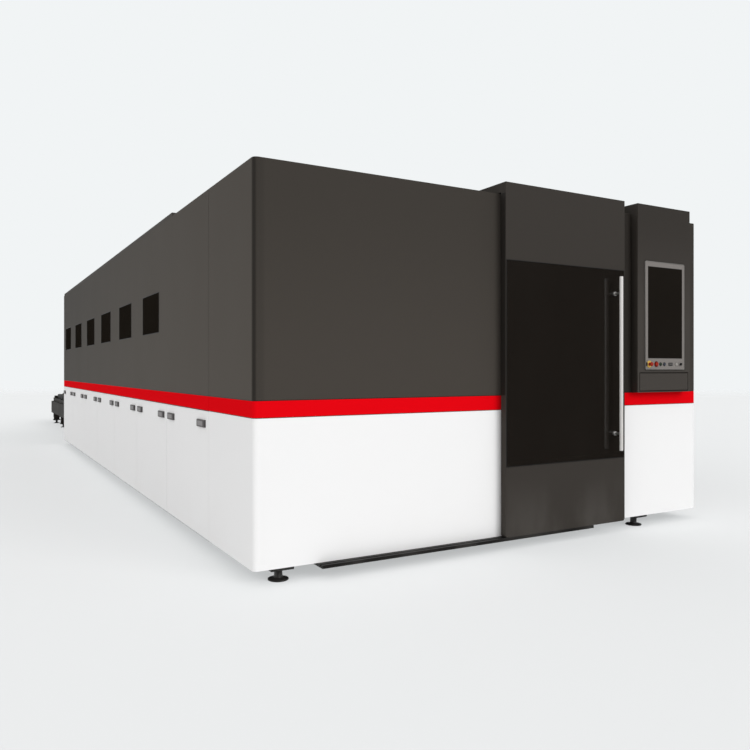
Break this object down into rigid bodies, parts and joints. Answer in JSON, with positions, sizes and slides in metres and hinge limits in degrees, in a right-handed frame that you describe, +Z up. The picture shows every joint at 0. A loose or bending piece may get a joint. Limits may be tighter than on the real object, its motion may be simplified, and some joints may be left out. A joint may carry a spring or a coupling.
{
  "type": "enclosed fiber laser cutting machine",
  "caption": "Enclosed sheet-metal laser cutter with sliding operator door, side control panel, internal gantry and cutting head, and a rear exchange table with stacked pallets.",
  "frame": {"origin": "on the floor, at the middle of the machine's length and width, exchange table and door handle included", "axes": "+X to the operator's right along the front, +Y from the operator's door towards the exchange table, +Z up"},
  "size_m": [3.614, 13.8385, 2.346],
  "materials": {
    "graphite_paint": "fine-textured graphite powder coat",
    "door_paint": "satin dark graphite powder coat",
    "red_paint": "satin red powder coat",
    "white_paint": "satin white powder coat",
    "roof_paint": "fine-textured graphite powder coat",
    "frame_paint": "grey primer on welded tube",
    "bed_paint": "light grey machine enamel",
    "table_paint": "dark grey machine enamel",
    "pallet_paint": "black machine enamel",
    "slat_steel": "bare hot-rolled steel",
    "ground_steel": "ground guide steel",
    "beam_alloy": "clear anodised",
    "head_alloy": "black anodised",
    "nozzle_copper": "turned copper alloy",
    "motor_black": "semi-gloss black",
    "rail_black": "satin black",
    "handle_steel": "brushed stainless",
    "tinted_glass": "dark laser-safe acrylic",
    "window_glass": "dark laser-safe acrylic",
    "bezel_grey": "warm grey satin",
    "screen_black": "gloss black screen",
    "keyboard_black": "matt black keys",
    "signal_red": "moulded red",
    "signal_yellow": "moulded yellow",
    "signal_green": "moulded green",
    "signal_white": "moulded white",
    "signal_blue": "moulded blue",
    "key_black": "moulded black",
    "foot_steel": "blackened steel"
  },
  "bodies": {
    "cabin": {"bed_frame": "bed_paint", "left_frame": "frame_paint", "right_frame": "frame_paint", "front_frame": "frame_paint", "rear_wall": "graphite_paint", "levelling_feet": "foot_steel", "front_left_upper": "graphite_paint", "front_left_lower": "white_paint", "front_right_upper": "graphite_paint", "front_right_lower": "white_paint", "left_stripe": "red_paint", "right_stripe": "red_paint", "left_wall": "graphite_paint", "right_wall": "graphite_paint", "side_windows": "window_glass", "right_lower_panels": "white_paint", "roof_front": "roof_paint", "roof_cover": "roof_paint", "door_track": "ground_steel", "bottom_rail": "rail_black", "control_box": "door_paint", "screen_bezel": "bezel_grey", "screen_glass": "screen_black", "y_rails": "ground_steel", "y_racks": "ground_steel", "exchange_frame": "table_paint", "pallet_drive": "motor_black", "estop_ring": "signal_yellow"},
    "sliding_door": {"door_shell": "door_paint", "door_glass": "tinted_glass", "door_handle": "handle_steel", "door_trolleys": "ground_steel"},
    "gantry": {"gantry_beam": "beam_alloy", "gantry_ends": "bed_paint", "gantry_motors": "motor_black", "x_rails": "ground_steel"},
    "carriage": {"x_carriage": "beam_alloy"},
    "head": {"z_slide": "beam_alloy", "cutting_head": "head_alloy", "nozzle": "nozzle_copper"},
    "upper_shuttle": {"upper_pallet": "pallet_paint", "upper_slats": "slat_steel"},
    "lower_shuttle": {"lower_pallet": "pallet_paint", "lower_slats": "slat_steel"},
    "gate": {"rear_gate": "door_paint"},
    "drawer": {"keyboard_drawer": "door_paint", "keyboard": "keyboard_black"},
    "estop": {"estop_button": "signal_red"},
    "stop": {"stop_button": "signal_red"},
    "start": {"start_button": "signal_green"},
    "reset": {"reset_button": "signal_blue"},
    "light": {"light_button": "signal_white"},
    "key": {"key_switch": "key_black"},
    "side_panel_1": {"left_panel_1": "white_paint"},
    "side_panel_2": {"left_panel_2": "white_paint"},
    "side_panel_3": {"left_panel_3": "white_paint"},
    "side_panel_4": {"left_panel_4": "white_paint"},
    "side_panel_5": {"left_panel_5": "white_paint"},
    "side_panel_6": {"left_panel_6": "white_paint"},
    "side_panel_7": {"left_panel_7": "white_paint"}
  },
  "joints": [
    {"name": "door_slide", "type": "slide", "parent": "cabin", "child": "sliding_door", "axis": [-1, 0, 0], "range_m": [0, 1.08]},
    {"name": "gantry_travel", "type": "slide", "parent": "cabin", "child": "gantry", "axis": [0, 1, 0], "range_m": [0, 6.1]},
    {"name": "carriage_travel", "type": "slide", "parent": "gantry", "child": "carriage", "axis": [1, 0, 0], "range_m": [-1.05, 1.05]},
    {"name": "head_lift", "type": "slide", "parent": "carriage", "child": "head", "axis": [0, 0, -1], "range_m": [0, 0.125]},
    {"name": "upper_shuttle_travel", "type": "slide", "parent": "cabin", "child": "upper_shuttle", "axis": [0, 1, 0], "range_m": [-6.25, 0]},
    {"name": "lower_shuttle_travel", "type": "slide", "parent": "cabin", "child": "lower_shuttle", "axis": [0, 1, 0], "range_m": [0, 6.25]},
    {"name": "gate_lift", "type": "slide", "parent": "cabin", "child": "gate", "axis": [0, 0, 1], "range_m": [0, 0.35]},
    {"name": "drawer_slide", "type": "slide", "parent": "cabin", "child": "drawer", "axis": [0, -1, 0], "range_m": [0, 0.28]},
    {"name": "estop_press", "type": "slide", "parent": "cabin", "child": "estop", "axis": [0, 1, 0], "range_m": [0, 0.005], "stiffness_N_per_m": 800},
    {"name": "stop_press", "type": "slide", "parent": "cabin", "child": "stop", "axis": [0, 1, 0], "range_m": [0, 0.004], "stiffness_N_per_m": 500},
    {"name": "start_press", "type": "slide", "parent": "cabin", "child": "start", "axis": [0, 1, 0], "range_m": [0, 0.004], "stiffness_N_per_m": 500},
    {"name": "reset_press", "type": "slide", "parent": "cabin", "child": "reset", "axis": [0, 1, 0], "range_m": [0, 0.004], "stiffness_N_per_m": 500},
    {"name": "light_press", "type": "slide", "parent": "cabin", "child": "light", "axis": [0, 1, 0], "range_m": [0, 0.004], "stiffness_N_per_m": 500},
    {"name": "key_turn", "type": "hinge", "parent": "cabin", "child": "key", "pos_m": [1.529, -6.85275, 1.19], "axis": [0, 1, 0], "range_deg": [0, 90]},
    {"name": "panel_tilt_1", "type": "hinge", "parent": "cabin", "child": "side_panel_1", "pos_m": [-1.793, -5.43932, 0.08], "axis": [0, -1, 0], "range_deg": [0, 20]},
    {"name": "panel_tilt_2", "type": "hinge", "parent": "cabin", "child": "side_panel_2", "pos_m": [-1.793, -4.35646, 0.08], "axis": [0, -1, 0], "range_deg": [0, 20]},
    {"name": "panel_tilt_3", "type": "hinge", "parent": "cabin", "child": "side_panel_3", "pos_m": [-1.793, -3.27361, 0.08], "axis": [0, -1, 0], "range_deg": [0, 20]},
    {"name": "panel_tilt_4", "type": "hinge", "parent": "cabin", "child": "side_panel_4", "pos_m": [-1.793, -2.19075, 0.08], "axis": [0, -1, 0], "range_deg": [0, 20]},
    {"name": "panel_tilt_5", "type": "hinge", "parent": "cabin", "child": "side_panel_5", "pos_m": [-1.793, -1.10789, 0.08], "axis": [0, -1, 0], "range_deg": [0, 20]},
    {"name": "panel_tilt_6", "type": "hinge", "parent": "cabin", "child": "side_panel_6", "pos_m": [-1.793, -0.02504, 0.08], "axis": [0, -1, 0], "range_deg": [0, 20]},
    {"name": "panel_tilt_7", "type": "hinge", "parent": "cabin", "child": "side_panel_7", "pos_m": [-1.793, 1.05782, 0.08], "axis": [0, -1, 0], "range_deg": [0, 20]}
  ],
  "couplings": [
    {"joint": "lower_shuttle_travel", "follows": "upper_shuttle_travel", "ratio": -1}
  ]
}
